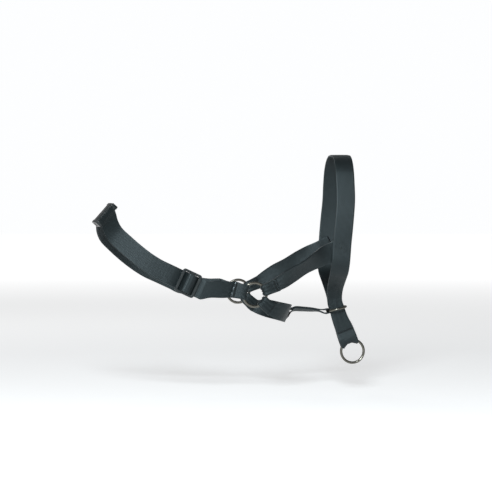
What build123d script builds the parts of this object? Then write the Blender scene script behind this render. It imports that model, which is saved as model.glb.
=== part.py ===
from build123d import *
from math import asin, cos, degrees, radians, sin
import os

# Head halter for a medium to large dog, in millimetres.
# +X points forward along the muzzle, +Y to the dog's left, +Z up.
# The origin is where the nose strap rests on the bridge of the nose.

# Webbing
web_width = 20.0
web_thick = 1.6
link_width = 10.0
link_thick = 1.2
foot_length = 7.0        # each end of the link strap, sewn to the throat strap
foot_offset = 3.9
foot_at = (-57.71, 0, -167.32)
foot_lean = 70.0         # slope of the throat strap's front face there
stitch_proud = 0.35      # how far sewing thread stands above the webbing
tack_length = 2.2        # bar tack, along the strap

# Welded O-rings: one on each side of the jaw and one for the lead
ring_radius = 12.5       # to the middle of the wire
ring_wire = 2.8
side_ring = (-102.3, -52.0, -147.3)
lead_lean = 20.5         # the lead tab leans forward from the vertical
loop_slack = 0.25        # room between a ring's wire and the webbing round it
flap_start = 15.0        # flat flaps end here, measured from the ring's centre
flap_closed = 22.0       # and the two plies meet here
neck_angle, neck_loop = 166.0, 16.0      # direction round the ring, gathered width
cheek_angle, cheek_loop = 23.0, 11.5
throat_angle, throat_loop = -41.0, 12.0
cheek_end, neck_end, throat_end = 27.0, 24.5, 25.5      # turned-back ends reach to here
loop_gap = ring_wire / 2 + loop_slack + web_thick / 2   # from a ring's plane to a ply
loop_flat = web_thick / 2 - 0.08                        # plies merge where they are sewn

# Guide ring that gathers the two tails under the chin
guide_radius = 10.5
guide_wire = 2.5
guide_tilt = 13.0        # its front is higher than its back
guide_ring_x, guide_ring_z = -3.2, -165.0
tail_width = 16.2        # webbing gathered to pass through the guide ring
tail_lean = 18.0         # direction of the tails there, from the vertical
tail_x, tail_z = -2.6, -165.0
tail_end = 13.0          # the nose strap is rigid to here, below the guide ring
fold_gap = 2.2           # soft fold on which the lead tab swings
lead_distance = 49.4     # guide ring to lead ring, along the tab

# Tri-glide slider on the right neck strap
slider_at = (-174.2, -58.5, -134.5)
slider_slope = 25.0
slider_length, slider_width, slider_thick = 22.0, 26.0, 2.4
slider_bar = 3.0
slider_window = 20.8     # clear width for the webbing
bar_room = 0.2           # between the slider's bars and the webbing
eye_end = 13.5           # the sewn eye on the centre bar ends here
eye_depth = 3.7          # and lies this far under the slider's middle plane
left_run = (13.0, 0.0, -16.0, -31.0)     # the left strap lies flat at these places
run_front, run_back = 15.0, 31.0         # webbing that shifts with the slider

# Side-release buckle at the nape
buckle_at = (-255.2, 0.0, -63.2)
buckle_slope = 48.6      # its width leans back from the horizontal
buckle_width, buckle_thick = 28.0, 8.0
mouth = -8.0             # seam between plug and socket, along the buckle
socket_length = 28.0
plug_length = 12.0
wall = 1.8               # top and bottom walls of the socket
side_wall = 2.5
cavity_depth = 18.0
bar_wide, bar_thick = 3.0, 2.6
web_slot = 3.6
prong_thick = 3.8
prong_arm = 2.2
prong_root = 8.2         # distance of each prong's root from the centre line
catch = 9.6              # from the seam to the prong's catch
head_length = 8.0


def rows_between(rows, steps):
    """Catmull-Rom rows through the given ones, each with its rate of change."""
    first = [2 * a - b for a, b in zip(rows[0], rows[1])]
    last = [2 * a - b for a, b in zip(rows[-1], rows[-2])]
    ends = [first] + [list(r) for r in rows] + [last]
    result = []
    for i in range(1, len(ends) - 2):
        a, b, c, d = ends[i - 1 : i + 3]
        last_span = i == len(ends) - 3
        for k in range(steps + last_span):
            t = k / steps
            here = []
            rate = []
            for p, q, r, s in zip(a, b, c, d):
                one, two, three = r - p, 2 * p - 5 * q + 4 * r - s, 3 * q - p - 3 * r + s
                here.append(q + (one * t + two * t * t + three * t**3) / 2)
                rate.append((one + 2 * two * t + 3 * three * t * t) / 2)
            result.append((here, rate))
    return result


def strap(rows, thick=web_thick, steps=2):
    """Webbing through rows of centre point, direction across, and width."""
    sections = []
    for here, rate in rows_between(rows, steps):
        along = Vector(*rate[:3]).normalized()
        across = Vector(*here[3:6])
        across = across - along * across.dot(along)
        place = Plane(origin=Vector(*here[:3]), x_dir=across, z_dir=along)
        sections.append(place * Rectangle(here[6], thick))
    return loft(sections, ruled=True)


def row(x, y, z, slope, width=web_width):
    """A row whose width lies at this slope, in degrees, in the side view."""
    return (x, y, z, cos(radians(slope)), 0.0, sin(radians(slope)), width)


def local_row(place, along, out, width):
    """A row in a loop's own frame: distance from the ring, and height off its plane."""
    p = place.from_local_coords(Vector(along, 0, out))
    across = place.y_dir
    return (p.X, p.Y, p.Z, across.X, across.Y, across.Z, width)


def other_side(shape):
    return mirror(shape, about=Plane.XZ)


def mirrored(rows):
    return [(r[0], -r[1], r[2], r[3], -r[4], r[5], r[6]) for r in rows]


def ring_frame(centre, angle):
    """Frame at a ring: x away from it along a strap, z out to the dog's right."""
    away = (cos(radians(angle)), 0, sin(radians(angle)))
    return Plane(origin=centre, x_dir=away, z_dir=(0, -1, 0))


def fold_round_ring(place, width, radius, wire, thick, start):
    """The fold inside a ring, and the two flat flaps either side of its wire."""
    half = degrees(asin(width / 2 / radius))
    gap = wire / 2 + loop_slack
    shell = Circle(gap + thick) - Circle(gap)
    shell -= Pos(gap + thick, 0) * Rectangle(2 * (gap + thick), 4 * (gap + thick))
    turn = revolve(Plane.XZ * (Pos(radius, 0) * shell), Axis.Z, 2 * half)
    turn = Rot(0, 0, -half) * turn
    edge = Polyline(
        (radius * cos(radians(half)), width / 2),
        (start, width / 2),
        (start, -width / 2),
        (radius * cos(radians(half)), -width / 2),
    )
    flap = make_face(CenterArc((0, 0), radius, -half, 2 * half) + edge)
    upper = extrude(Pos(0, 0, gap) * flap, thick)
    lower = extrude(Pos(0, 0, -gap - thick) * flap, thick)
    return place.location * (turn + upper + lower)


def ring_loop(place, width, side, tail, rest, steps=2):
    """Webbing folded round a ring: its end is turned back on one side, +1 or -1."""
    back = [
        local_row(place, flap_start, side * loop_gap, width),
        local_row(place, flap_closed, side * loop_flat, width + 1.5),
        local_row(place, tail, side * loop_flat, width + 2.0),
    ]
    main = [
        local_row(place, flap_start, -side * loop_gap, width),
        local_row(place, flap_closed, -side * loop_flat, width + 1.5),
    ]
    fold = fold_round_ring(place, width, ring_radius, ring_wire, web_thick, flap_start)
    return fold + strap(back) + strap(main + rest, steps=steps)


def o_ring(centre, radius, wire, axis=(0, 1, 0)):
    return Plane(origin=centre, z_dir=axis).location * Torus(radius, wire / 2)


def tack(place, along, width, plies):
    """A bar tack: a dense row of thread right through the plies."""
    height = plies * web_thick + 2 * stitch_proud
    p = place.from_local_coords(Vector(along, 0, 0))
    bar = extrude(RectangleRounded(tack_length, width - 3, 0.9), height / 2, both=True)
    return Plane(origin=p, x_dir=place.x_dir, z_dir=place.z_dir).location * bar


def tail_point(down):
    """A point on the gathered tails, this far below the guide ring."""
    lean = radians(tail_lean)
    return tail_x + down * sin(lean), tail_z - down * cos(lean)


def nose_rows():
    """The right half of the nose strap, from the bridge to below the guide ring."""
    ply = web_thick / 2 + 0.01
    above_x, above_z = tail_point(-7)
    end_x, end_z = tail_point(tail_end - fold_gap / 2)
    return [
        row(0, 0, web_thick / 2, 0),
        row(0, -12, -0.6, 0),
        row(-0.2, -22, -6, 0),
        row(-0.4, -29.5, -16, 0),
        row(-0.6, -34, -30, 0),
        row(-0.9, -37, -47, 0),
        row(-2.2, -38.7, -63, 0),
        row(-3.6, -38.9, -79, 0),
        row(-5.0, -37.9, -95, 0),
        row(-6.3, -36.65, -115, 0),
        row(-6.6, -31, -125, 1),
        row(-6.4, -19, -134, 3, 19.0),
        row(-6.0, -7, -144, 8, 17.5),
        row(above_x - 0.5, -ply - 0.9, above_z + 6, 14, tail_width),
        row(above_x, -ply, above_z, tail_lean, tail_width),
        row(tail_x, -ply, tail_z, tail_lean, tail_width),
        row(end_x, -ply, end_z, tail_lean, 17.4),
    ]


def nose_strap():
    right = nose_rows()
    left = mirrored(right)
    return strap(left[:0:-1] + right)


def lead_frame():
    """Frame of the lead ring's loop: x runs up the tab, z to the dog's right."""
    return ring_frame(lead_ring_centre(), 90 + lead_lean)


def lead_ring_centre():
    lean = radians(lead_lean)
    return (tail_x + lead_distance * sin(lean), 0, tail_z - lead_distance * cos(lean))


def lead_tab():
    """Both plies below the soft fold, with the turn round the lead ring."""
    place = lead_frame()
    start_x, start_z = tail_point(tail_end + fold_gap / 2)
    double = [
        local_row(place, flap_closed, 0, web_width),
        local_row(place, flap_closed + 6, 0, web_width - 0.8),
        row(start_x, 0, start_z, 180 + lead_lean, 17.6),
    ]
    tab = fold_round_ring(place, web_width, ring_radius, ring_wire, web_thick, flap_start)
    tab += strap(double, thick=2 * web_thick)
    for side in (1, -1):
        flap = [
            local_row(place, flap_start, side * loop_gap, web_width),
            local_row(place, flap_closed, side * web_thick / 2, web_width),
        ]
        tab += strap(flap)
    return tab


def cheek_strap():
    """Right cheek strap: sewn inside the nose strap, turning flat to the ring."""
    place = ring_frame(side_ring, cheek_angle)
    sewn = web_thick + 0.3   # the nose strap's ply lies this far outside
    rest = [
        (-72.0, -51.0, -133.4, -0.42, -0.25, 0.87, 16.0),
        (-60.0, -49.0, -126.2, -0.40, -0.55, 0.72, 19.0),
        (-47.0, -46.5, -118.8, -0.36, -0.70, 0.62, web_width),
        (-34.0, -42.0, -111.6, -0.40, -0.50, 0.78, web_width),
        (-23.5, -37.3, -106.2, -0.46, -0.16, 0.87, web_width),
        (-15.0, -37.4 + sewn, -102.4, -0.46, -0.055, 0.88, web_width),
        (-6.0, -37.66 + sewn, -98.2, -0.46, -0.055, 0.88, web_width),
        (-0.4, -37.83 + sewn, -95.6, -0.46, -0.055, 0.88, web_width),
    ]
    return ring_loop(place, cheek_loop, 1, cheek_end, rest, steps=3)


def throat_strap():
    """The U-shaped band under the throat, folded round both side rings."""
    place = ring_frame(side_ring, throat_angle)
    other = Plane(
        origin=(side_ring[0], -side_ring[1], side_ring[2]),
        x_dir=place.x_dir,
        z_dir=place.z_dir,
    )
    leg = [
        local_row(place, flap_start, loop_gap, throat_loop),
        local_row(place, flap_closed, loop_flat, throat_loop + 2.5),
        row(-77.5, -50.5, -163.8, 57, 18.5),
        row(-69.0, -43.5, -166.4, 61),
        row(-62.9, -30.0, -168.0, 66),
        row(-60.3, -14.0, -168.6, 70),
        row(-59.8, 0, -168.7, 70),
    ]
    band = strap(leg + mirrored(leg)[-2::-1])
    turned = [
        local_row(place, flap_start, -loop_gap, throat_loop),
        local_row(place, flap_closed, -loop_flat, throat_loop + 2.5),
        local_row(place, throat_end, -loop_flat, throat_loop + 3.0),
    ]
    for frame, rows in ((place, turned), (other, mirrored(turned))):
        band += fold_round_ring(
            frame, throat_loop, ring_radius, ring_wire, web_thick, flap_start
        )
        band += strap(rows)
    return band


def guide_frame():
    """Frame at the guide ring: x backwards in its plane, z up its axis."""
    tilt = radians(guide_tilt)
    return Plane(
        origin=(guide_ring_x, 0, guide_ring_z),
        x_dir=(-cos(tilt), 0, -sin(tilt)),
        z_dir=(-sin(tilt), 0, cos(tilt)),
    )


def foot_frame():
    """Frame of the link strap's feet on the throat strap: x up, z forward."""
    lean = radians(foot_lean)
    return Plane(
        origin=foot_at,
        x_dir=(cos(lean), 0, sin(lean)),
        z_dir=(sin(lean), 0, -cos(lean)),
    )


def link_strap():
    """Narrow two-ply strap from the throat strap to the guide ring."""
    place = guide_frame()
    start = guide_radius + guide_wire / 2 + 1.0
    gap = guide_wire / 2 + loop_slack + link_thick / 2
    double = [
        (-21.5, 0, -166.7, 0, -1, 0.08, link_width),
        (-30.0, 0, -165.9, 0, -0.97, 0.25, link_width),
        (-41.0, 0, -165.1, 0, -0.94, 0.34, link_width),
        (-50.0, 0, -164.8, 0, -0.92, 0.40, link_width),
        (-57.8, 0, -167.2, 0, -1, 0, link_width),
    ]
    link = fold_round_ring(place, link_width, guide_radius, guide_wire, link_thick, start)
    link += strap(double, thick=2 * link_thick)
    for side in (1, -1):
        flap = [
            local_row(place, start, side * gap, link_width),
            (-22.3, 0, -166.65 + side * (link_thick / 2 - 0.05), 0, -1, 0.08, link_width - 0.1),
        ]
        link += strap(flap, thick=link_thick)
        foot = Pos(side * foot_offset, 0, 0) * Box(foot_length, link_width, link_thick)
        link += foot_frame().location * foot
    return link


def slider_frame():
    """Frame at the slider: x towards the ring, y across the strap, z outwards."""
    slope = radians(slider_slope)
    return Plane(
        origin=slider_at,
        x_dir=(cos(slope), 0, -sin(slope)),
        z_dir=(0, -1, 0),
    )


def slider():
    """Flat tri-glide: a frame with a centre bar."""
    window_length = (slider_length - 3 * slider_bar) / 2
    plate = RectangleRounded(slider_length, slider_width, 3.0)
    for side in (1, -1):
        offset = side * (slider_bar + window_length) / 2
        plate -= Pos(offset, 0) * RectangleRounded(window_length, slider_window, 0.8)
    body = extrude(plate, slider_thick / 2, both=True)
    body = fillet(body.edges().group_by(Axis.Z)[-1], 0.6)
    body = fillet(body.edges().group_by(Axis.Z)[0], 0.6)
    return slider_frame().location * body


def slider_row(along, out, width=web_width):
    return local_row(slider_frame(), along, out, width)


def adjuster_run():
    """Webbing threaded through the slider, and the ply that returns beneath it."""
    under = -(slider_thick / 2 + bar_room + web_thick / 2)
    over = -under + web_thick + 0.15
    edge = slider_length / 2
    inner = edge - slider_bar - 0.2
    threaded = [
        slider_row(run_front, 0),
        slider_row(run_front - 1.2, -0.25),
        slider_row(edge + 0.4, under),
        slider_row(inner, under),
        slider_row(edge / 2 - 0.1, 0.7),
        slider_row(2.7, over),
        slider_row(0, over + 0.1),
        slider_row(-2.7, over),
        slider_row(-edge / 2 + 0.1, 0.7),
        slider_row(-inner, under),
        slider_row(-edge - 0.4, under),
        slider_row(-edge - 7.0, -0.3),
        slider_row(-run_back, 0),
    ]
    back = [
        slider_row(-eye_end - 0.4, 0.2 - eye_depth),
        slider_row(-edge - 8.0, -2.2),
        slider_row(-run_back, -web_thick - 0.2),
    ]
    return Compound(children=[strap(threaded, steps=3), strap(back)])


def adjuster_eye():
    """The strap's own end, back from the buckle and sewn round the centre bar."""
    top = slider_thick / 2 + bar_room
    round_bar = Circle(top + web_thick) - Circle(top)
    round_bar -= Pos(-3, 0) * Rectangle(6, 12)
    nose = extrude(Plane.XZ * (Pos(0.6, 0) * round_bar), web_width / 2, both=True)
    upper = Pos(-0.7, 0, top + web_thick / 2) * Box(2.8, web_width, web_thick)
    eye = slider_frame().location * (nose + upper)
    under = -(top + web_thick / 2)
    back = [
        slider_row(0.6, under),
        slider_row(-1.8, under - 0.1),
        slider_row(-6.2, -4.0),
        slider_row(-9.5, -4.25),
        slider_row(-eye_end, -eye_depth),
    ]
    return eye + strap(back)


def nape_row(y, drop, sink, slope):
    """A row near the buckle: down its width by drop, and towards the neck by sink."""
    lean = radians(buckle_slope)
    x = buckle_at[0] - drop * cos(lean) + sink * sin(lean)
    z = buckle_at[2] - drop * sin(lean) - sink * cos(lean)
    return row(x, y, z, slope)


def neck_rows():
    """The right neck strap from the buckle's bar down to the slider's webbing."""
    return [
        nape_row(-24.5, 0.8, 1.0, 48.6),
        nape_row(-31.0, 3.6, 4.4, 49),
        nape_row(-38.0, 8.0, 10.0, 51),
        nape_row(-45.0, 11.5, 18.5, 54),
        row(-238.0, -51.5, -95.0, 57),
        row(-227.5, -55.6, -104.2, 60),
        row(-216.0, -57.8, -113.0, 63),
    ]


def neck_front_rows():
    return [
        row(-135.5, -54.2, -141.8, 78, 17.5),
        row(-148.0, -57.0, -141.0, 72, 19.0),
    ]


def right_neck_strap():
    """From the right side ring to the slider."""
    place = ring_frame(side_ring, neck_angle)
    rest = neck_front_rows() + [slider_row(run_front + d, 0) for d in (3.5, 0.9)]
    return ring_loop(place, neck_loop, 1, neck_end, facing_back(rest))


def facing_back(rows):
    """The same rows with the direction across turned round, as the loops have it."""
    return [(*r[:3], -r[3], -r[4], -r[5], r[6]) for r in rows]


def bar_frame():
    """Frame at the plug's web bar: x along the strap away from the buckle."""
    slope = radians(buckle_slope)
    return Plane(
        origin=(buckle_at[0], mouth - plug_length + bar_wide / 2, buckle_at[2]),
        x_dir=(0, -1, 0),
        z_dir=(-sin(slope), 0, cos(slope)),
    )


def bar_turn():
    """The fold of a strap round the buckle's web bar."""
    inner = bar_thick / 2 + 0.2
    shell = Circle(inner + web_thick) - Circle(inner)
    shell -= Pos(4, 0) * Rectangle(8, 16)
    turn = extrude(Plane.XZ * (Pos(-0.9, 0) * shell), web_width / 2, both=True)
    run = bar_wide / 2 + 1.1
    for face in (1, -1):
        out = face * (inner + web_thick / 2)
        turn += Pos(run / 2 - 0.9, 0, out) * Box(run, web_width, web_thick)
    return bar_frame().location * turn


def bar_row(face):
    """Where a ply leaves the plug's bar, outside (+1) or inside (-1)."""
    out = face * (bar_thick / 2 + 0.2 + web_thick / 2)
    return local_row(bar_frame(), bar_wide / 2 + 0.2, out, web_width)


def shifted(rows, inward):
    """Rows moved towards the neck by this much."""
    moved = []
    for here, rate in rows_between(rows, 1):
        along = Vector(*rate[:3]).normalized()
        across = Vector(*here[3:6])
        p = Vector(*here[:3]) - along.cross(across).normalized() * inward
        moved.append((p.X, p.Y, p.Z, *here[3:]))
    return moved


def right_neck_strap_rear():
    """Two plies from the slider to the buckle, turned round the plug's bar."""
    outer = neck_rows() + [slider_row(-run_back - d, 0) for d in (3.0, 0.4)]
    inner = shifted(outer, web_thick + 0.2)
    return bar_turn() + strap([bar_row(1)] + outer) + strap([bar_row(-1)] + inner)


def left_neck_strap():
    """From the left side ring to the buckle's socket, with its end sewn back."""
    place = ring_frame(side_ring, neck_angle)
    middle = [slider_row(d, 0) for d in left_run]
    route = neck_front_rows() + middle + neck_rows()[::-1] + [bar_row(1)]
    back = shifted(neck_rows()[:4], web_thick - 0.15)
    right_hand = ring_loop(place, neck_loop, 1, neck_end, facing_back(route))
    right_hand += strap([bar_row(-1)] + back) + bar_turn()
    return other_side(right_hand)


def buckle_frame():
    """Frame of the buckle: x to the dog's left, y down its width, z out."""
    slope = radians(buckle_slope)
    return Plane(
        origin=buckle_at,
        x_dir=(0, 1, 0),
        z_dir=(-sin(slope), 0, cos(slope)),
    )


def block(x0, x1, width, thick):
    return Pos((x0 + x1) / 2, 0, 0) * Box(x1 - x0, width, thick)


def buckle_socket():
    """Hollow half with side windows and a web bar."""
    tip = mouth + socket_length
    slot_end = tip - bar_wide
    body = block(mouth, tip, buckle_width, buckle_thick)
    body = fillet(body.edges().filter_by(Axis.Z), 3.0)
    body = fillet(body.edges().group_by(Axis.Z)[-1], 1.2)
    body = fillet(body.edges().group_by(Axis.Z)[0], 1.2)
    hollow = buckle_width - 2 * side_wall
    body -= block(mouth - 1, mouth + cavity_depth, hollow, buckle_thick - 2 * wall)
    window = (mouth + catch - 0.3, mouth + catch + head_length + 0.6)
    body -= block(*window, buckle_width + 2, buckle_thick - 2 * wall)
    body -= block(slot_end - web_slot, slot_end, web_width + 1.2, buckle_thick + 2)
    for face in (1, -1):
        step = (buckle_thick + bar_thick) / 2
        body -= Pos(0, 0, face * step) * block(
            slot_end - 0.2, tip + 1, web_width + 1.2, buckle_thick
        )
    return buckle_frame().location * body


def buckle_plug():
    """The other half: web bar, base and the tongue that centres it."""
    tip = mouth - plug_length
    slot_start = tip + bar_wide
    body = block(tip, mouth - 0.3, buckle_width, buckle_thick - 0.8)
    body = fillet(body.edges().filter_by(Axis.Z), 2.5)
    body = fillet(body.edges().group_by(Axis.Z)[-1], 1.0)
    body = fillet(body.edges().group_by(Axis.Z)[0], 1.0)
    body -= block(slot_start, slot_start + web_slot, web_width + 1.2, buckle_thick + 2)
    for face in (1, -1):
        step = (buckle_thick + bar_thick) / 2
        body -= Pos(0, 0, face * step) * block(
            tip - 1, slot_start + 0.2, web_width + 1.2, buckle_thick
        )
    body += block(mouth - 0.5, mouth + cavity_depth - 3, 4.4, 3.2)
    return buckle_frame().location * body


def buckle_prong(side):
    """A sprung arm of the plug, with the head that shows in the side window."""
    outer = buckle_width / 2 - 0.4
    root = Pos(mouth + 1.3, prong_root) * Circle(1.4)
    reach = mouth + catch
    arm = Polyline(
        (mouth + 1.3, prong_root - prong_arm / 2),
        (reach, prong_root - 1.0),
        (reach + head_length - 1.5, prong_root - 1.6),
        (reach + head_length, prong_root + 0.4),
        (reach + head_length - 1.2, outer - 2.0),
        (reach + 3.0, outer),
        (reach, outer),
        (reach, prong_root + prong_arm - 0.4),
        (mouth + 1.3, prong_root + prong_arm / 2),
        close=True,
    )
    shape = make_face(arm) + root
    prong = extrude(shape, prong_thick / 2, both=True)
    if side < 0:
        prong = mirror(prong, about=Plane.XZ)
    return buckle_frame().location * prong


def box_stitch(place, size, plies):
    """A sewn box with both diagonals, right through the plies."""
    height = plies * web_thick + 2 * stitch_proud
    line = Rectangle(size, size) - Rectangle(size - 2, size - 2)
    for turn in (45, -45):
        line += Rot(0, 0, turn) * Rectangle(size * 1.38, 1.0)
    return place.location * extrude(line, height / 2, both=True)


def cheek_box_stitches():
    """Boxes that hold both cheek straps to the nose strap."""
    place = Plane(
        origin=(-6.4, -36.9, -98.6), x_dir=(0.88, -0.03, 0.46), z_dir=(0, -1, -0.062)
    )
    one = box_stitch(place, 11.0, 2.1)
    return Compound(children=[one, other_side(one)])


def ring_bartacks():
    """Tacks behind the cheek and throat loops, on both sides."""
    tacks = []
    for angle, width in ((cheek_angle, cheek_loop), (throat_angle, throat_loop)):
        one = tack(ring_frame(side_ring, angle), flap_closed + 1.8, width + 1.5, 2)
        tacks += [one, other_side(one)]
    return Compound(children=tacks)


def neck_bartacks():
    """Tacks behind the neck strap's loops, and behind the socket's web bar."""
    one = tack(ring_frame(side_ring, neck_angle), flap_closed + 1.0, neck_loop + 2, 2)
    down, along = neck_rows()[1:3]
    away = Vector(*along[:3]) - Vector(*down[:3])
    out = away.cross(Vector(*down[3:6]))
    sewn = Plane(origin=Vector(*down[:3]), x_dir=away, z_dir=out)
    end = tack(sewn.offset(-web_thick / 2), 1.0, web_width, 2)
    return Compound(children=[one, other_side(one), other_side(end)])


def link_bartacks():
    """Tacks through the link strap's feet into the throat strap."""
    depth = link_thick + web_thick + 0.2 + 2 * stitch_proud
    bar = extrude(RectangleRounded(tack_length, link_width - 2, 0.9), depth / 2, both=True)
    place = foot_frame().offset(-(link_thick + web_thick) / 2 + link_thick / 2)
    tacks = [place.location * Pos(s * foot_offset, 0, 0) * bar for s in (1, -1)]
    return Compound(children=tacks)


def lead_bartack():
    return tack(lead_frame(), flap_closed + 1.6, web_width, 2)


nodes = {
    "nose_strap": nose_strap(),
    "lead_tab": lead_tab(),
    "lead_bartack": lead_bartack(),
    "lead_ring": o_ring(lead_ring_centre(), ring_radius, ring_wire),
    "guide_ring": o_ring(
        (guide_ring_x, 0, guide_ring_z), guide_radius, guide_wire, guide_frame().z_dir
    ),
    "link_strap": link_strap(),
    "throat_strap": throat_strap(),
    "right_cheek_strap": cheek_strap(),
    "left_cheek_strap": other_side(cheek_strap()),
    "cheek_box_stitches": cheek_box_stitches(),
    "ring_bartacks": ring_bartacks(),
    "link_bartacks": link_bartacks(),
    "right_side_ring": o_ring(side_ring, ring_radius, ring_wire),
    "left_side_ring": other_side(o_ring(side_ring, ring_radius, ring_wire)),
    "right_neck_strap": right_neck_strap(),
    "adjuster_run": adjuster_run(),
    "adjuster_eye": adjuster_eye(),
    "right_neck_strap_rear": right_neck_strap_rear(),
    "left_neck_strap": left_neck_strap(),
    "neck_bartacks": neck_bartacks(),
    "slider": slider(),
    "buckle_socket": buckle_socket(),
    "buckle_plug": buckle_plug(),
    "upper_prong": buckle_prong(-1),
    "lower_prong": buckle_prong(1),
}

os.makedirs("parts", exist_ok=True)
for name, shape in nodes.items():
    export_step(shape, f"parts/{name}.step")
    size = shape.bounding_box().size
    print(f"{name}: {len(shape.solids())} solid(s), {size.X:.1f} x {size.Y:.1f} x {size.Z:.1f} mm")
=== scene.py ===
import bpy
import numpy as np
from math import asin, cos, pi, radians, sin
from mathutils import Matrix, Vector, noise


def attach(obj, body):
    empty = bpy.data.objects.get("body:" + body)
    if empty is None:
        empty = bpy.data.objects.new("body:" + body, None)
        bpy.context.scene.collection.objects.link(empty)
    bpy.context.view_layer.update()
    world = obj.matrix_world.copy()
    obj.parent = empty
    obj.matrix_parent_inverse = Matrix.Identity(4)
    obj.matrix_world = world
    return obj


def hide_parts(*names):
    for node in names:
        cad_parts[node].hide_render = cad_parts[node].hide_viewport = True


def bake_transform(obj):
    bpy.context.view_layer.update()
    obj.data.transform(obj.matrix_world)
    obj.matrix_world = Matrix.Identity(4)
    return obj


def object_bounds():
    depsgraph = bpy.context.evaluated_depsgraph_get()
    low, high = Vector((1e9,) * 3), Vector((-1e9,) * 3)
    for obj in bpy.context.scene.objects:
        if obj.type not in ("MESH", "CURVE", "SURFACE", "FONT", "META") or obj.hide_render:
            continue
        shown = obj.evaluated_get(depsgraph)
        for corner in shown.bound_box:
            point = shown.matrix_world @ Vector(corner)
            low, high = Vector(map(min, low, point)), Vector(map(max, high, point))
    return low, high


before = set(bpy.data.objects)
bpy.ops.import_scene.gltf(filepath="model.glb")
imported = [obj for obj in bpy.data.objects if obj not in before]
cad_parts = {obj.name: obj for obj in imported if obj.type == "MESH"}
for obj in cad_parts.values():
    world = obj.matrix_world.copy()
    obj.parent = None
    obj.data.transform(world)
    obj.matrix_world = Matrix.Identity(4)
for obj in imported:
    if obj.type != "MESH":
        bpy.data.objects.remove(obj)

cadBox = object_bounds()
mm = 0.001
mapUnit = 20.0      # millimetres of webbing to one unit of its map
print("frame loaded:", len(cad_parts), "nodes")


# small tools

def deselectAll():
    bpy.ops.object.select_all(action="DESELECT")


def pick(piece):
    deselectAll()
    piece.select_set(True)
    bpy.context.view_layer.objects.active = piece


def addModifier(piece, kind, **settings):
    modifier = piece.modifiers.new(kind.title(), kind)
    for key, value in settings.items():
        setattr(modifier, key, value)
    pick(piece)
    bpy.ops.object.modifier_apply(modifier=modifier.name)


def editMesh(piece, *steps):
    pick(piece)
    bpy.ops.object.mode_set(mode="EDIT")
    bpy.ops.mesh.select_all(action="SELECT")
    for step, settings in steps:
        step(**settings)
    bpy.ops.object.mode_set(mode="OBJECT")


def smoothShade(piece, angle=40):
    pick(piece)
    bpy.ops.object.shade_smooth_by_angle(angle=radians(angle))


def settleHome(piece):      # the place goes into the mesh, the object to the origin
    pick(piece)
    bpy.ops.object.transform_apply(location=True, rotation=True, scale=True)


# materials

class Wire:
    # a socket that can be used in ordinary sums

    def __init__(self, look, socket):
        self.look, self.socket = look, socket

    def maths(self, operation, *values):
        inputs = dict(enumerate(values))
        return self.look.node("ShaderNodeMath", {"operation": operation}, inputs)

    def __add__(self, other):
        return self.maths("ADD", self, other)

    def __radd__(self, other):
        return self.maths("ADD", other, self)

    def __sub__(self, other):
        return self.maths("SUBTRACT", self, other)

    def __rsub__(self, other):
        return self.maths("SUBTRACT", other, self)

    def __mul__(self, other):
        return self.maths("MULTIPLY", self, other)

    def __rmul__(self, other):
        return self.maths("MULTIPLY", other, self)

    def __truediv__(self, other):
        return self.maths("DIVIDE", self, other)

    def __pow__(self, other):
        return self.maths("POWER", self, other)

    def __abs__(self):
        return self.maths("ABSOLUTE", self)

    def fraction(self):
        return self.maths("FRACT", self)

    def whole(self):
        return self.maths("FLOOR", self)

    def cosine(self):
        return self.maths("COSINE", self)

    def between(self, low, high):      # 0 below low, 1 above high
        sockets = {0: self, 1: low, 2: high, 3: 0.0, 4: 1.0}
        return self.look.node("ShaderNodeMapRange", {"clamp": True}, sockets)


class NodeTree:
    # a tree, and the one method that adds nodes to it

    def __init__(self, tree):
        self.tree = tree

    def node(self, kind, settings, inputs, out=0):
        made = self.tree.nodes.new(kind)
        for key, value in settings.items():
            setattr(made, key, value)
        for key, value in inputs.items():
            self.feed(made.inputs[key], value)
        return Wire(self, made.outputs[out])

    def feed(self, socket, value):
        if isinstance(value, Wire):
            self.tree.links.new(value.socket, socket)
        else:
            socket.default_value = value


class Look(NodeTree):
    # one material and what its nodes often do

    def __init__(self, name, shader):
        self.material = bpy.data.materials.new(name)
        self.material.use_nodes = True
        super().__init__(self.material.node_tree)
        self.shader = self.tree.nodes["Principled BSDF"]
        for key, value in shader.items():
            self.feed(self.shader.inputs[key], value)

    def colours(self, factor, first, second):
        sockets = {0: factor, 6: first, 7: second}
        return self.node("ShaderNodeMix", {"data_type": "RGBA"}, sockets, 2)

    def noiseAt(self, place, scale, detail=3.0, roughness=0.55):
        settings = {"noise_dimensions": "3D"}
        return self.node("ShaderNodeTexNoise", settings, {
            "Vector": place, "Scale": scale, "Detail": detail, "Roughness": roughness,
        })

    def onObject(self):
        return self.node("ShaderNodeTexCoord", {}, {}, "Object")

    def stretched(self, place, scale):
        return self.node("ShaderNodeVectorMath", {"operation": "MULTIPLY"}, {0: place, 1: scale})

    def part(self, vector, axis):      # 0, 1 or 2 for x, y or z
        return self.node("ShaderNodeSeparateXYZ", {}, {0: vector}, axis)

    def bump(self, height, strength, distance):
        normal = self.node("ShaderNodeBump", {}, {
            "Height": height, "Strength": strength, "Distance": distance,
        })
        self.set("Normal", normal)

    def set(self, name, value):
        self.feed(self.shader.inputs[name], value)


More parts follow.
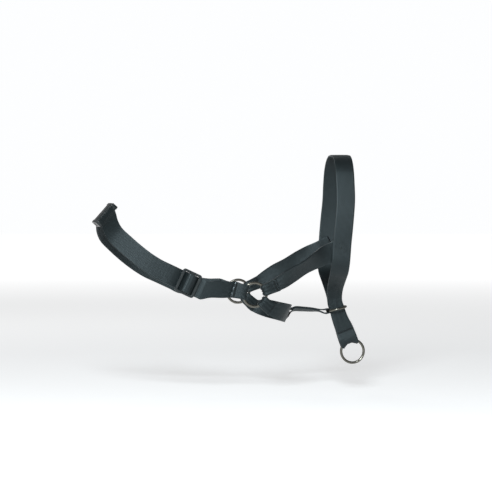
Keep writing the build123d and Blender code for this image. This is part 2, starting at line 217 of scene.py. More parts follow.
webbingLooks = {
    "shadedValley": (0.0006, 0.0015, 0.0018, 1),       # painted shade between the yarns
    "yarn": (0.0034, 0.0068, 0.0077, 1),
    "worn": (0.014, 0.022, 0.024, 1),            # rubbed crowns and edges
    "sealedEnd": (0.0030, 0.0042, 0.0048, 1),    # melted and shiny
    "columnPitch": 1.25,                         # one column of yarn, mm
    "pickPitch": 1.7,                            # one pass of the shuttle, mm
    "edgeBand": (1.3, 0.2),                      # the rubbed edge, mm in from the selvedge
    "roughness": 0.34,
    "sealedRoughness": 0.24,
    "reliefDepth": 0.00030,
    "shader": {
        "Sheen Weight": 0.05, "Sheen Roughness": 0.4, "Sheen Tint": (0.75, 0.87, 0.90, 1),
        "Specular IOR Level": 0.46, "Specular Tint": (0.80, 0.95, 1.0, 1),
    },
}


def webbingLook(name, width):
    v = webbingLooks
    look = Look(name, v["shader"])
    strapMap = look.node("ShaderNodeUVMap", {"uv_map": "UVMap"}, {})
    place = look.onObject()
    across, along = look.part(strapMap, 0) * mapUnit, look.part(strapMap, 1) * mapUnit
    column = across / v["columnPitch"]
    odd = (column.whole() * 0.5).fraction()
    crown = 1 - (column.fraction() * 2 - 1) ** 2.0
    lump = ((along / v["pickPitch"] + odd) * (2 * pi)).cosine() * 0.5 + 0.5
    yarn = crown * (0.45 + 0.55 * lump)
    streaks = look.noiseAt(look.stretched(strapMap, (110.0, 16.0, 1.0)), 1.0, 2.0)
    patches = look.noiseAt(place, 38.0, 4.0)
    specks = look.noiseAt(place, 900.0, 2.0)
    inner, outer = [width / 2 - distance for distance in v["edgeBand"]]
    edge = abs(across - width / 2).between(inner, outer)
    cutEnd = look.node("ShaderNodeAttribute", {"attribute_name": "sealed"}, {}, "Fac")
    sealed = cutEnd.between(0.35, 0.55)
    # the yarn crowns take the yarn colour and the valleys between them are painted shade; the streaks
    # are real tone variation
    lit = (yarn * 0.75 + streaks * 0.35).between(0.05, 0.95)
    cloth = look.colours(lit, v["shadedValley"], v["yarn"])
    rubbed = patches.between(0.50, 0.78) * 0.35 + edge * 0.30 + specks.between(0.62, 0.80) * 0.25
    cloth = look.colours(rubbed * yarn, cloth, v["worn"])
    cloth = look.colours(sealed, cloth, v["sealedEnd"])
    look.set("Base Color", cloth)
    rough = v["roughness"] + (1 - yarn) * 0.18 + patches * 0.12 - edge * 0.05
    look.set("Roughness", rough * (1 - sealed) + sealed * v["sealedRoughness"])
    relief = (yarn * 0.8 + streaks * 0.2) * (1 - edge * 0.55)
    melted = look.noiseAt(place, 900.0, 1.0) * 0.12
    look.bump(relief * (1 - sealed) + melted * sealed, 0.85, v["reliefDepth"])
    return look.material


threadLooks = {
    "hollow": (0.0022, 0.0042, 0.0048, 1),       # painted shade between the twists
    "strand": (0.0085, 0.0135, 0.0150, 1),
    "roughness": 0.62,
    "shader": {"Sheen Weight": 0.05, "Sheen Roughness": 0.4, "Specular IOR Level": 0.30},
}


def threadLook():
    v = threadLooks
    look = Look("sewingThread", v["shader"])
    place = look.onObject()
    twist = look.noiseAt(place, 2600.0, 2.0)
    patches = look.noiseAt(place, 120.0)
    # the twist noise paints shade into the hollows between the twists
    look.set("Base Color", look.colours(twist, v["hollow"], v["strand"]))
    look.set("Roughness", v["roughness"] + patches * 0.2)
    look.bump(twist, 0.7, 0.00012)
    return look.material


nickelLooks = {
    "bright": (0.15, 0.145, 0.125, 1),
    "dulled": (0.095, 0.09, 0.078, 1),
    "roughness": 0.20,
}


def nickelLook():
    v = nickelLooks
    look = Look("nickelPlatedSteel", {"IOR": 1.5})
    place = look.onObject()
    haze = look.noiseAt(place, 160.0, 4.0)
    scratches = look.noiseAt(look.stretched(place, (900.0, 140.0, 2200.0)), 1.0, 3.0, 0.6)
    wear = haze.between(0.45, 0.8)
    look.set("Base Color", look.colours(wear, v["bright"], v["dulled"]))
    look.set("Metallic", 1 - wear * 0.06)
    look.set("Roughness", v["roughness"] + wear * 0.12 + scratches * 0.06)
    look.bump(scratches * 0.6 + haze * 0.4, 0.12, 0.00004)
    return look.material


plasticLooks = {
    "dark": (0.0065, 0.010, 0.011, 1),
    "pale": (0.012, 0.017, 0.018, 1),            # where the melt flowed
    "scuffed": (0.045, 0.054, 0.056, 1),
    "roughness": 0.20,
}


def plasticLook():
    v = plasticLooks
    look = Look("mouldedAcetal", {"IOR": 1.48, "Specular IOR Level": 0.42})
    place = look.onObject()
    grain = look.noiseAt(place, 1500.0, 2.0)
    flow = look.noiseAt(place, 70.0, 3.0)
    scuffs = look.noiseAt(look.stretched(place, (260.0, 900.0, 500.0)), 1.0, 4.0, 0.65)
    worn = scuffs.between(0.60, 0.78)
    base = look.colours(flow, v["dark"], v["pale"])
    look.set("Base Color", look.colours(worn * 0.5, base, v["scuffed"]))
    look.set("Roughness", v["roughness"] + flow * 0.10 + worn * 0.22 + grain * 0.05)
    look.bump(grain * 0.5 + flow * 0.5, 0.18, 0.00008)
    return look.material


webbingMaterial = webbingLook("nylonWebbing", 20.0)
tapeMaterial = webbingLook("narrowNylonTape", 10.0)
threadMaterial = threadLook()
nickelMaterial = nickelLook()
plasticMaterial = plasticLook()
print("materials ready")


# places on the halter, in millimetres

class Spot:
    # an origin with three directions

    def __init__(self, origin, x, z, y=None):
        self.origin = Vector(origin) * mm
        self.x, self.z = Vector(x).normalized(), Vector(z).normalized()
        self.y = y or self.z.cross(self.x)

    def at(self, a, b, c):
        return self.origin + (self.x * a + self.y * b + self.z * c) * mm


halter = {
    "sideRing": (-102.3, -52.0, -147.3),     # the right one; the left mirrors it
    "cheekLean": 23.0,             # how each strap leaves a side ring, degrees up from forward
    "throatLean": -41.0,
    "neckLean": 166.0,
    "ringRadius": 12.5,
    "ringWire": 2.8,
    "guideCentre": (-3.2, 0.0, -165.0),
    "guideRadius": 10.5,
    "guideWire": 2.5,
    "guideTilt": 13.0,
    "slack": 0.25,                 # between a wire and the webbing round it
    "flapStart": 15.0,
    "flapClosed": 22.0,
    "tailStart": (-2.6, -165.0),
    "tailLean": 18.0,
    "leadLean": 20.5,
    "leadDistance": 49.4,
    "linkFoot": (-57.71, 0, -167.32),
    "linkFootLean": 70.0,
    "slider": (-174.2, -58.5, -134.5),
    "sliderSlope": 25.0,
    "buckle": (-255.2, 0.0, -63.2),
    "buckleSlope": 48.6,
    "buckleBar": 18.5,             # from the buckle's middle out to its web bar
}


def ringSpot(centre, angle):      # x away from the ring along its strap, z to the dog's right
    return Spot(centre, (cos(radians(angle)), 0, sin(radians(angle))), (0, -1, 0))


def tailPoint(down):
    lean = radians(halter["tailLean"])
    x, z = halter["tailStart"]
    return x + down * sin(lean), z - down * cos(lean)


leadTurn = radians(halter["leadLean"])
leadCentre = (
    halter["tailStart"][0] + halter["leadDistance"] * sin(leadTurn),
    0.0,
    halter["tailStart"][1] - halter["leadDistance"] * cos(leadTurn),
)
guideTurn = radians(halter["guideTilt"])
guideSpot = Spot(
    halter["guideCentre"], (-cos(guideTurn), 0, -sin(guideTurn)), (-sin(guideTurn), 0, cos(guideTurn))
)
sliderTurn = radians(halter["sliderSlope"])
sliderSpot = Spot(halter["slider"], (cos(sliderTurn), 0, -sin(sliderTurn)), (0, -1, 0))
buckleTurn = radians(halter["buckleSlope"])
barSpot = Spot(
    (halter["buckle"][0], -halter["buckleBar"], halter["buckle"][2]),
    (0, -1, 0), (-sin(buckleTurn), 0, cos(buckleTurn)),
)
cheekSpot = ringSpot(halter["sideRing"], halter["cheekLean"])
throatSpot = ringSpot(halter["sideRing"], halter["throatLean"])
neckSpot = ringSpot(halter["sideRing"], halter["neckLean"])
leadSpot = ringSpot(leadCentre, 90 + halter["leadLean"])


# webbing

webbing = {
    "width": 20.0,
    "thickness": 1.6,
    "tapeWidth": 10.0,
    "tapeThickness": 1.2,
    "plyGap": 0.02,               # from the middle of two plies to either
    "pointsAcross": 15,
    "step": 0.0018,               # between ribs along the strap, m
    "pleats": 3,                  # where the width is gathered
    "pleatDepth": 0.0019,
    "crown": 0.00022,             # outward curve across the width
    "unevenness": 0.00022,        # how far it wanders from the pattern
    "edgeRound": 0.00038,
    "seed": 5,                    # of the unevenness; 0 would take the clock instead
}
noise.seed_set(webbing["seed"])


def rib(centre, across, width):
    side = Vector(across).normalized() * width * mm
    count = webbing["pointsAcross"]
    return [centre + side * (i / (count - 1) - 0.5) for i in range(count)]


def row(x, y, z, slope, width=webbing["width"]):
    turn = radians(slope)
    return rib(Vector((x, y, z)) * mm, (cos(turn), 0, sin(turn)), width)


def freeRow(x, y, z, across, width=webbing["width"]):
    return rib(Vector((x, y, z)) * mm, across, width)


def spotRow(spot, along, out, width=webbing["width"]):
    return rib(spot.at(along, 0, out), spot.y, width)


def foldRound(spot, width, side, radius, wire, thickness):
    # the webbing turns through half a circle round the wire of a ring
    room = wire / 2 + halter["slack"] + thickness / 2
    count = webbing["pointsAcross"]
    ribs = []
    for k in range(9):
        turn = pi * k / 8
        r = radius - room * sin(turn)
        angles = [asin((i / (count - 1) - 0.5) * width / radius) for i in range(count)]
        ribs.append([spot.at(r * cos(a), r * sin(a), side * room * cos(turn)) for a in angles])
    return ribs


def ringEnd(spot, width, side, tail, skew=0.0):
    # a cut end turned back on one side, and the fold round the ring
    room = halter["ringWire"] / 2 + halter["slack"] + webbing["thickness"] / 2
    flat = webbing["thickness"] / 2 + webbing["plyGap"]
    start, closed = halter["flapStart"], halter["flapClosed"]
    cut = spot.y + spot.x * skew
    return [
        rib(spot.at(tail, 0, side * flat), cut, (width + 2.0) * cut.length),
        spotRow(spot, closed + 0.6, side * flat, width + 1.5),
        spotRow(spot, start, side * room, width),
        *foldRound(spot, width, side, halter["ringRadius"], halter["ringWire"], webbing["thickness"]),
        spotRow(spot, start, -side * room, width),
        spotRow(spot, closed + 0.6, -side * flat, width + 1.5),
    ]


def flipped(ribs):
    return [[Vector((p.x, -p.y, p.z)) for p in points] for points in ribs]


def combed(keys):
    # every rib runs the same way across as the one before it
    done = [keys[0]]
    for points in keys[1:]:
        before = done[-1][-1] - done[-1][0]
        done.append(points if (points[-1] - points[0]).dot(before) > 0 else points[::-1])
    return done


def smoothRibs(keys, step):
    keys = np.array([[tuple(p) for p in points] for points in combed(keys)])
    middle = keys[:, keys.shape[1] // 2]
    gaps = np.linalg.norm(np.diff(middle, axis=0), axis=1)
    knots = np.sqrt(gaps)[:, None, None]
    slopes = np.diff(keys, axis=0) / knots
    bends = (slopes[:-1] * knots[1:] + slopes[1:] * knots[:-1]) / (knots[:-1] + knots[1:])
    bends = np.concatenate([slopes[:1], bends, slopes[-1:]])
    ribs = [keys[0]]
    for i, gap in enumerate(gaps):
        count = max(1, round(gap / step))
        for k in range(1, count + 1):
            t = k / count
            here = (2 * t**3 - 3 * t**2 + 1) * keys[i] + (3 * t**2 - 2 * t**3) * keys[i + 1]
            pull = (t**3 - 2 * t**2 + t) * bends[i] + (t**3 - t**2) * bends[i + 1]
            ribs.append(here + pull * knots[i])
    return np.array(ribs)


def ribNormals(ribs):
    normals = np.cross(np.gradient(ribs, axis=0), np.gradient(ribs, axis=1))
    return normals / np.linalg.norm(normals, axis=2, keepdims=True)


def wander(point):
    push = noise.noise_vector(Vector(point) * 26.0 + Vector((3.1, 7.7, 1.3)))
    return Vector(point) + push * webbing["unevenness"]


def makeStrap(
    name, keys, outer=1, width=webbing["width"], thickness=webbing["thickness"],
    closed=False, sealed=(True, True), material=webbingMaterial,
):
    ribs = smoothRibs(keys, webbing["step"])
    rows, columns = ribs.shape[:2]
    share = np.linspace(0, 1, columns)
    chord = np.linalg.norm(ribs[:, -1] - ribs[:, 0], axis=1)
    gathered = np.clip(1 - chord / (width * mm), 0, 1)[:, None, None]
    pleat = ((1 - np.cos(2 * pi * webbing["pleats"] * share)) / 2)[None, :, None]
    crown = (1 - (2 * share - 1) ** 2)[None, :, None]
    lift = gathered * pleat * webbing["pleatDepth"] + crown * webbing["crown"]
    ribs = ribs + outer * ribNormals(ribs) * lift
    if closed:
        ribs[-1] = ribs[0]
    steps = np.linalg.norm(np.diff(ribs[:, columns // 2], axis=0), axis=1)
    lengths = np.concatenate([[0], np.cumsum(steps)])
    if closed:                    # a whole number of picks, so that the weave meets itself
        pitch = webbingLooks["pickPitch"] * mm
        lengths *= round(lengths[-1] / pitch) * pitch / lengths[-1]
    deselectAll()
    bpy.ops.mesh.primitive_grid_add(x_subdivisions=columns - 1, y_subdivisions=rows - 1, size=0.02)
    strap = bpy.context.object
    strap.name = name
    for vertex, point in zip(strap.data.vertices, ribs.reshape(-1, 3)):
        vertex.co = wander(point)
    spread = strap.data.uv_layers[0].data
    for loop in strap.data.loops:
        j, i = divmod(loop.vertex_index, columns)
        spread[loop.index].uv = (share[i] * width / mapUnit, lengths[j] / (mapUnit * mm))
    ends = strap.data.attributes.new("sealed", "FLOAT", "POINT")
    for index in range(columns):
        ends.data[index].value = float(sealed[0] and not closed)
        ends.data[len(strap.data.vertices) - 1 - index].value = float(sealed[1] and not closed)
    if closed:
        editMesh(strap, (bpy.ops.mesh.remove_doubles, {"threshold": 0.00002}))
    editMesh(strap, (bpy.ops.mesh.normals_make_consistent, {"inside": False}))
    addModifier(strap, "SOLIDIFY", thickness=thickness * mm, offset=0.0, use_even_offset=True)
    addModifier(
        strap, "BEVEL", width=webbing["edgeRound"], segments=2,
        limit_method="ANGLE", angle_limit=radians(55),
    )
    editMesh(strap, (bpy.ops.mesh.normals_make_consistent, {"inside": False}))
    smoothShade(strap)
    strap.data.materials.append(material)
    return strap


# nose strap: one loop of webbing over the muzzle, down through the guide ring and round the lead ring

def noseHalf():
    ply = webbing["thickness"] / 2 + webbing["plyGap"]
    aboveX, aboveZ = tailPoint(-7)
    besideX, besideZ = halter["tailStart"]
    belowX, belowZ = tailPoint(11.9)
    room = halter["ringWire"] / 2 + halter["slack"] + webbing["thickness"] / 2
    down = [
        row(0, 0, 0.8, 0),
        row(0, -12, -0.6, 0),
        row(-0.2, -22, -6, 0),
        row(-0.4, -29.5, -16, 0),
        row(-0.6, -34, -30, 0),
        row(-0.9, -37, -47, 0),
        row(-2.2, -38.7, -63, 0),
        row(-3.6, -38.9, -79, 0),
        row(-5.0, -37.9, -95, 0),
        row(-6.3, -36.65, -115, 0),
        row(-6.6, -31, -125, 1),
        row(-6.4, -19, -134, 3, 19.0),
        row(-6.0, -7, -144, 8, 17.5),
        row(aboveX - 0.5, -ply - 0.9, aboveZ + 6, 14, 16.2),
        row(aboveX, -ply, aboveZ, halter["tailLean"], 16.2),
        row(besideX, -ply, besideZ, halter["tailLean"], 16.2),
        row(belowX, -ply, belowZ, halter["tailLean"], 17.4),
        spotRow(leadSpot, 28.0, ply, 19.2),
        spotRow(leadSpot, 22.6, ply),
        spotRow(leadSpot, halter["flapStart"], room),
    ]
    turn = foldRound(
        leadSpot, webbing["width"], 1, halter["ringRadius"], halter["ringWire"], webbing["thickness"]
    )
    return down, turn


half, leadFold = noseHalf()
noseKeys = half + leadFold + flipped(half)[::-1]
noseStrap = makeStrap("noseStrapAndLeadTab", noseKeys, outer=1, closed=True)
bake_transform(noseStrap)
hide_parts("nose_strap", "lead_tab")
print("nose strap and lead tab done")


# cheek straps, sewn inside the nose strap and folded round the side rings

def cheekKeys():
    sewn = webbing["thickness"] + 0.3      # the cheek strap lies inside the nose strap
    across = (-0.46, -0.055, 0.88)
    return ringEnd(cheekSpot, 11.5, 1, 27.0) + [
        freeRow(-72.0, -51.0, -133.4, (-0.42, -0.25, 0.87), 16.0),
        freeRow(-60.0, -49.0, -126.2, (-0.40, -0.55, 0.72), 19.0),
        freeRow(-47.0, -46.5, -118.8, (-0.36, -0.70, 0.62)),
        freeRow(-34.0, -42.0, -111.6, (-0.40, -0.50, 0.78)),
        freeRow(-23.5, -37.3, -106.2, (-0.46, -0.16, 0.87)),
        freeRow(-15.0, -37.4 + sewn, -102.4, across),
        freeRow(-6.0, -37.66 + sewn, -98.2, across),
        freeRow(-0.4, -37.83 + sewn, -95.6, across),
    ]


rightCheek = makeStrap("rightCheekStrap", cheekKeys(), outer=-1)
leftCheek = makeStrap("leftCheekStrap", flipped(cheekKeys()), outer=1)
for piece, node in ((rightCheek, "right_cheek_strap"), (leftCheek, "left_cheek_strap")):
    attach(piece, "head_piece")
    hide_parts(node)
print("cheek straps done")


# throat strap, folded round both side rings

def throatKeys():
    leg = [
        row(-77.5, -50.5, -163.8, 57, 18.5),
        row(-69.0, -43.5, -166.4, 61),
        row(-62.9, -30.0, -168.0, 66),
        row(-60.3, -14.0, -168.6, 70),
    ]
    right = ringEnd(throatSpot, 12.0, -1, 25.5) + leg
    return right + [row(-59.8, 0, -168.7, 70)] + flipped(right)[::-1]


throatStrap = makeStrap("throatStrap", throatKeys(), outer=1)
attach(throatStrap, "head_piece")
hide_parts("throat_strap")
print("throat strap done")


# link tape: from the throat strap, round the guide ring and back

def linkKeys():
    width, thickness = webbing["tapeWidth"], webbing["tapeThickness"]
    flat = thickness / 2 + 0.06
    room = halter["guideWire"] / 2 + halter["slack"] + thickness / 2
    upperFoot = [(-55.2, -164.9), (-55.7, -162.7), (-55.3, -160.4)]
    lowerFoot = [(-54.2, -168.4), (-56.9, -172.0), (-59.6, -175.2)]

    def ply(side):
        foot = upperFoot if side > 0 else lowerFoot
        return [
            spotRow(guideSpot, 12.75, side * room, width),
            freeRow(-22.3, 0, -166.65 + side * flat * 1.2, (0, -1, 0.08), width),
            freeRow(-30.0, 0, -165.9 + side * flat, (0, -0.97, 0.25), width),
            freeRow(-41.0, 0, -165.1 + side * flat, (0, -0.94, 0.34), width),
            freeRow(-49.5, 0, -164.8 + side * flat * 1.1, (0, -0.93, 0.36), width),
            *[freeRow(x, 0, z, (0, -1, 0.12 - 0.05 * i), width) for i, (x, z) in enumerate(foot)],
        ]

    turn = foldRound(guideSpot, width, 1, halter["guideRadius"], halter["guideWire"], thickness)
    return ply(1)[::-1] + turn + ply(-1)


linkTape = makeStrap(
    "linkTape", linkKeys(), outer=-1, width=webbing["tapeWidth"], thickness=webbing["tapeThickness"],
    material=tapeMaterial,
)
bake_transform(linkTape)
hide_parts("link_strap")
print("link tape done")


# neck straps

def napeRow(y, drop, sink, slope):
    lean = radians(halter["buckleSlope"])
    x = halter["buckle"][0] - drop * cos(lean) + sink * sin(lean)
    z = halter["buckle"][2] - drop * sin(lean) - sink * cos(lean)
    return row(x, y, z, slope)


def napeRows():      # from the buckle's bar down to the slider
    return [
        napeRow(-24.5, 0.8, 1.0, 48.6),
        napeRow(-31.0, 3.6, 4.4, 49),
        napeRow(-38.0, 8.0, 10.0, 51),
        napeRow(-45.0, 11.5, 18.5, 54),
        row(-238.0, -51.5, -95.0, 57),
        row(-227.5, -55.6, -104.2, 60),
        row(-216.0, -57.8, -113.0, 63),
    ]


def sliderRow(along, out):      # a little wider than the rest, as webbing spreads in a buckle
    return spotRow(sliderSpot, along, out, 20.6)


def barTurn():      # round the buckle's web bar, from outside to inside
    reach = 2.3
    angles = [pi * k / 8 for k in range(9)]
    turn = [spotRow(barSpot, -0.9 - reach * sin(a), reach * cos(a)) for a in angles]
    return [spotRow(barSpot, 1.7, reach)] + turn + [spotRow(barSpot, 1.7, -reach)]


def laidUnder(keys, depth):      # a second ply on the neck side of these ribs
    ribs = np.array([[tuple(p) for p in points] for points in combed(keys)])
    normals = ribNormals(ribs)
    return [[Vector(p) for p in points] for points in ribs - normals * depth * mm]


neckFrontKeys = ringEnd(neckSpot, 16.0, 1, 24.8, 0.14) + [
    row(-135.5, -54.2, -141.8, 78, 17.5),
    row(-148.0, -57.0, -141.0, 72, 19.0),
]
intoSlider = [(18.5, 0), (15.6, -0.1), (13.6, -1.0), (11.4, -2.2), (9.6, -2.2)]
rightFront = makeStrap(
    "rightNeckStrapFront", neckFrontKeys + [sliderRow(d, h) for d, h in intoSlider],
    outer=-1, sealed=(True, False),
)
sliderSpot.at(52, 0, 0)
sliderSpot.at(12.5, 0, 0)
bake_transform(rightFront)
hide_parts("right_neck_strap")


def adjusterKeys():
    over, below = 4.0, -2.2      # the webbing over the middle bar and under the end bars
    threaded = [
        (9.5, below), (7.8, below), (5.4, 0.7), (2.7, over), (0, over + 0.1), (-2.7, over),
        (-5.4, 0.7), (-7.8, below), (-11.4, below), (-18.0, -0.3), (-31.0, 0), (-34.0, 0),
    ]
    eye = [
        (-34.0, -1.75), (-31.0, -1.75), (-19.0, -2.2), (-13.9, -3.7), (-9.5, -4.2), (-6.2, -4.0),
        (-1.8, -2.4), (0.6, below),
    ]
    angles = [pi * k / 6 for k in range(1, 7)]
    eye += [(0.6 - below * sin(a), below * cos(a)) for a in angles] + [(-2.1, -below)]
    outside = napeRows()[::-1]
    under = laidUnder(napeRows(), webbing["thickness"] + 0.1)
    return (
        [sliderRow(d, h) for d, h in threaded] + outside + barTurn() + under
        + [sliderRow(d, h) for d, h in eye]
    )


rightRear = makeStrap("rightNeckStrapRear", adjusterKeys(), outer=1, sealed=(False, True))
sliderSpot.at(-14, 0, 0)
sliderSpot.at(-62, 0, 0)
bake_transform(rightRear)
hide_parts("adjuster_run", "adjuster_eye", "right_neck_strap_rear")

leftKeys = (
    neckFrontKeys + [sliderRow(d, 0) for d in (13.0, 0, -16.0, -31.0)] + napeRows()[::-1]
    + barTurn() + laidUnder(napeRows()[:4], webbing["thickness"] + 0.05)
)
leftNeck = makeStrap("leftNeckStrap", flipped(leftKeys), outer=1)
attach(leftNeck, "neck_band")
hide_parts("left_neck_strap")
print("neck straps done")


# rings of welded wire

rings = {
    "segments": 112,
    "roundSegments": 20,
    "weldHalfAngle": 5.0,
    "weldBulge": 0.00016,
}


def makeRing(name, node, centre, radius, wire, turn, weldAt):      # its body is named as its node
    deselectAll()
    bpy.ops.mesh.primitive_torus_add(
        major_segments=rings["segments"], minor_segments=rings["roundSegments"],
        major_radius=radius * mm, minor_radius=wire / 2 * mm,
        location=Vector(centre) * mm, rotation=turn,
    )
    ring = bpy.context.object
    ring.name = name
    bpy.ops.object.mode_set(mode="EDIT")
    bpy.ops.mesh.select_all(action="DESELECT")
    bpy.ops.object.mode_set(mode="OBJECT")
    spot = Vector((cos(radians(weldAt)), sin(radians(weldAt)), 0))
    for vertex in ring.data.vertices:
        flat = Vector((vertex.co.x, vertex.co.y, 0)).normalized()
        vertex.select = flat.angle(spot) < radians(rings["weldHalfAngle"])
    bpy.ops.object.mode_set(mode="EDIT")
    bpy.ops.transform.shrink_fatten(value=rings["weldBulge"])
    bpy.ops.object.mode_set(mode="OBJECT")
    settleHome(ring)
    smoothShade(ring, 60)
    ring.data.materials.append(nickelMaterial)
    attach(ring, node)
    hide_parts(node)


sideways = (pi / 2, 0, 0)
rightCentre = halter["sideRing"]
leftCentre = (rightCentre[0], -rightCentre[1], rightCentre[2])
big = (halter["ringRadius"], halter["ringWire"])
small = (halter["guideRadius"], halter["guideWire"])
makeRing("rightSideRing", "right_side_ring", rightCentre, *big, sideways, 255)
makeRing("leftSideRing", "left_side_ring", leftCentre, *big, sideways, 255)
makeRing("leadRing", "lead_ring", leadCentre, *big, sideways, 300)
makeRing("guideRing", "guide_ring", halter["guideCentre"], *small, (0, -guideTurn, 0), 150)
print("rings done")


# sewing

sewing = {
    "thread": 0.00019,            # radius
    "stitch": 0.0026,
    "gap": 0.0005,
    "cheekTack": (23.9, 12.0),    # each tack's distance and width, mm
    "throatTack": (23.6, 12.2),
    "neckTack": (22.2, 14.6),
    "leadTack": (23.8, 17.4),
    "napeTack": (1.0, 17.0),
    "footTack": (4.6, 8.0),
    "boxSize": 10.8,
    "tackPitch": 0.00044,
    "tackLength": 0.0020,
}


def sewThread(name, runs):
    curve = bpy.data.curves.new(name, "CURVE")
    curve.dimensions = "3D"
    curve.bevel_depth = sewing["thread"]
    curve.bevel_resolution = 1
    curve.use_fill_caps = True
    for run in runs:
        spline = curve.splines.new("POLY")
        spline.points.add(len(run) - 1)
        for point, place in zip(spline.points, run):
            point.co = (*place, 1)
    thread = bpy.data.objects.new(name, curve)
    bpy.context.scene.collection.objects.link(thread)
    pick(thread)
    bpy.ops.object.convert(target="MESH")
    thread = bpy.context.object
    smoothShade(thread, 60)
    thread.data.materials.append(threadMaterial)
    return thread


def dipped(cloth, points, heights):      # each point at its height above the cloth
    run = []
    for point, height in zip(points, heights):
        _, place, normal, _ = cloth.closest_point_on_mesh(point)
        run.append(place + normal * height)
    return run


def lineOfStitches(cloth, start, end):
    reach = end - start
    count = max(1, round(reach.length / (sewing["stitch"] + sewing["gap"])))
    pitch = reach / count
    share = sewing["stitch"] / (sewing["stitch"] + sewing["gap"])
    heights = (-0.0003, 0.00010, 0.00017, 0.00010, -0.0003)
    runs = []
    for k in range(count):
        begin = start + pitch * (k + (1 - share) / 2)
        points = [begin + pitch * share * t for t in (0.0, 0.12, 0.5, 0.88, 1.0)]
        runs.append(dipped(cloth, points, heights))
    return runs


def barTack(cloth, centre, along, across, out, width):
    # a dense zigzag over one face of the webbing
    count = round(width * mm / sewing["tackPitch"])
    points, heights = [], []
    for k in range(count):
        sidePlace = across * (k / (count - 1) - 0.5) * width * mm
        turn = 1 if k % 2 else -1
        for step, height in ((-1.0, -0.0002), (-0.6, 0.00016), (0.6, 0.00016), (1.0, -0.0002)):
            reach = along * turn * step * sewing["tackLength"] / 2
            points.append(centre + out * 0.003 + sidePlace + reach)
            heights.append(height)
    return dipped(cloth, points, heights)


def bothFaces(cloth, spot, distance, width):
    centre = spot.at(distance, 0, 0)
    return [barTack(cloth, centre, spot.x, spot.y, out, width) for out in (spot.z, -spot.z)]


def mirrored(v):
    return Vector((v.x, -v.y, v.z))


def mirroredSpot(spot):
    return Spot(mirrored(spot.origin) / mm, mirrored(spot.x), mirrored(spot.z), mirrored(spot.y))


ringTacks = sewThread("ringTacks", [
    *bothFaces(rightCheek, cheekSpot, *sewing["cheekTack"]),
    *bothFaces(leftCheek, mirroredSpot(cheekSpot), *sewing["cheekTack"]),
    *bothFaces(throatStrap, throatSpot, *sewing["throatTack"]),
    *bothFaces(throatStrap, mirroredSpot(throatSpot), *sewing["throatTack"]),
])
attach(ringTacks, "head_piece")
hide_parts("ring_bartacks")

leadTack = sewThread("leadTack", bothFaces(noseStrap, leadSpot, *sewing["leadTack"]))
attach(leadTack, "lead_tab")
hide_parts("lead_bartack")

start, further = [mirrored(points[len(points) // 2]) for points in napeRows()[1:3]]
downNape = (further - start).normalized()
acrossNape = Vector((cos(radians(49)), 0, sin(radians(49))))
napeSpot = Spot(start / mm, downNape, acrossNape.cross(downNape), acrossNape)
neckTacks = sewThread("neckTacks", [
    *bothFaces(rightFront, neckSpot, *sewing["neckTack"]),
    *bothFaces(leftNeck, mirroredSpot(neckSpot), *sewing["neckTack"]),
    *bothFaces(leftNeck, napeSpot, *sewing["napeTack"]),
])
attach(neckTacks, "neck_band")
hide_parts("neck_bartacks")

turn = radians(halter["linkFootLean"])
footSpot = Spot(halter["linkFoot"], (cos(turn), 0, sin(turn)), (sin(turn), 0, -cos(turn)))
distance, width = sewing["footTack"]
linkTacks = sewThread("linkTacks", [
    barTack(linkTape, footSpot.at(side * distance, 0, 0), footSpot.x, footSpot.y, footSpot.z, width)
    for side in (1, -1)
])
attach(linkTacks, "head_piece")
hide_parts("link_bartacks")


def boxOfStitches(cloth, spot, out):      # a square with both of its diagonals
    half = sewing["boxSize"] / 2
    corners = [spot.at(a * half, b * half, out) for a, b in ((-1, -1), (1, -1), (1, 1), (-1, 1))]
    sides = [(corners[i], corners[(i + 1) % 4]) for i in range(4)]
    runs = []
    for start, end in sides + [(corners[0], corners[2]), (corners[1], corners[3])]:
        runs += lineOfStitches(cloth, start, end)
    return runs


boxSpot = Spot((-6.4, -36.9, -98.6), (0.88, -0.03, 0.46), (0, -1, -0.062))
boxStitches = sewThread("cheekBoxStitches", [
    *boxOfStitches(noseStrap, boxSpot, 4),
    *boxOfStitches(rightCheek, boxSpot, -4),
    *boxOfStitches(noseStrap, mirroredSpot(boxSpot), 4),
    *boxOfStitches(leftCheek, mirroredSpot(boxSpot), -4),
])
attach(boxStitches, "head_piece")
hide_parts("cheek_box_stitches")
print("sewing done")


# moulded parts keep their shape and get their finish

for node in ("slider", "buckle_socket", "buckle_plug", "upper_prong", "lower_prong"):
    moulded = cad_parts[node]
    moulded.data.materials.clear()
    moulded.data.materials.append(plasticMaterial)
print("moulded parts done")


# floor, light and camera

studio = {
    "floorDrop": 0.03,            # the halter hangs this far above the floor
    "floorColours": ((0.72, 0.72, 0.725, 1), (0.75, 0.75, 0.75, 1)),
    "backdropStrength": 1.0,      # what the camera sees behind the halter
    "worldStrength": 0.22,        # what the room adds to the lamps
    "floorGlow": 0.42,            # near the halter, so that the floor stays pale
    "farGlow": 0.84,              # and towards the horizon
    "floorRadius": 14.0,
    "worldColour": (0.985, 0.992, 1.0, 1),
    "lamps": {                    # place, size, power and colour
        "keyLight": ((-0.62, -1.95, 0.74), 0.55, 52.0, (0.90, 0.97, 1.0)),
        "fillLight": ((-1.5, -1.1, 0.35), 1.2, 3.0, (0.93, 0.97, 1.0)),
        "rimLight": ((-0.4, 1.5, 1.0), 0.8, 4.0, (1, 1, 1)),
    },
    "cameraDistance": 2.5,
    "cameraAzimuth": -10.0,
    "cameraElevation": 1.0,
    "cameraTarget": (-0.1026, 0.0, -0.0968),
    "lens": 170.0,
}


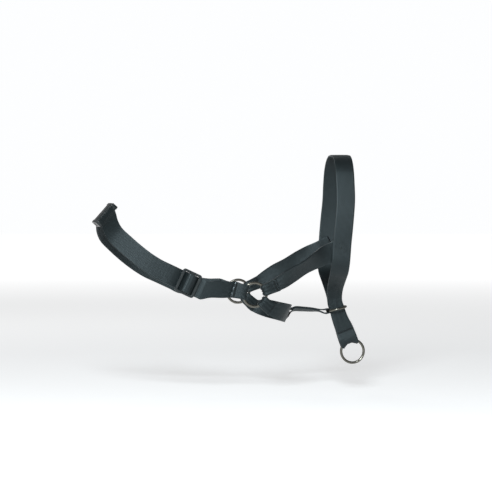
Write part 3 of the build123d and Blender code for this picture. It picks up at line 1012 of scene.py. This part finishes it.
def addArea(name, aim, place, size, power, colour):
    deselectAll()
    bpy.ops.object.light_add(type="AREA", location=place)
    lamp = bpy.context.object
    lamp.name = name
    lamp.data.shape = "DISK"
    lamp.data.size = size
    lamp.data.energy = power
    lamp.data.color = colour
    lamp.rotation_euler = (Vector(aim) - Vector(place)).to_track_quat("-Z", "Y").to_euler()


def floorLook():
    look = Look("paleFloor", {"Roughness": 0.9})
    place = look.onObject()
    cloud = look.noiseAt(place, 1.2, 2.0)
    look.set("Base Color", look.colours(cloud, *studio["floorColours"]))
    look.bump(look.noiseAt(place, 260.0, 2.0), 0.05, 0.0004)
    distance = look.node("ShaderNodeVectorMath", {"operation": "LENGTH"}, {0: place}, "Value")
    reach = distance.between(0.8, 4.0)
    near, far = [(g, g, g, 1) for g in (studio["floorGlow"], studio["farGlow"])]
    look.set("Emission Color", look.colours(reach, near, far))
    look.set("Emission Strength", 1.0)
    return look.material


lowest = cadBox[0][2] - studio["floorDrop"]
deselectAll()
bpy.ops.mesh.primitive_circle_add(
    vertices=96, radius=studio["floorRadius"], fill_type="NGON", location=(0, 0, lowest)
)
floor = bpy.context.object
floor.name = "studioFloor"
floor.data.materials.append(floorLook())
settleHome(floor)

world = bpy.data.worlds.new("softStudio")
bpy.context.scene.world = world
world.use_nodes = True
room = NodeTree(world.node_tree)
background = room.tree.nodes["Background"]
straightOn = room.node("ShaderNodeLightPath", {}, {}, "Is Camera Ray")
room.feed(background.inputs["Color"], studio["worldColour"])
room.feed(background.inputs["Strength"], room.node("ShaderNodeMapRange", {}, {
    "Value": straightOn, "To Min": studio["worldStrength"], "To Max": studio["backdropStrength"],
}))

middle = Vector(studio["cameraTarget"])
for name, lamp in studio["lamps"].items():
    addArea(name, middle, *lamp)

azimuth, elevation = radians(studio["cameraAzimuth"]), radians(studio["cameraElevation"])
away = Vector((sin(azimuth) * cos(elevation), -cos(azimuth) * cos(elevation), sin(elevation)))
deselectAll()
bpy.ops.object.camera_add(location=middle + away * studio["cameraDistance"])
camera = bpy.context.object
camera.name = "studioCamera"
camera.rotation_euler = (-away).to_track_quat("-Z", "Y").to_euler()
camera.data.lens = studio["lens"]
camera.data.sensor_width = 36.0
camera.data.dof.use_dof = False
bpy.context.scene.camera = camera
bpy.context.scene.view_settings.view_transform = "Standard"
print("studio ready")
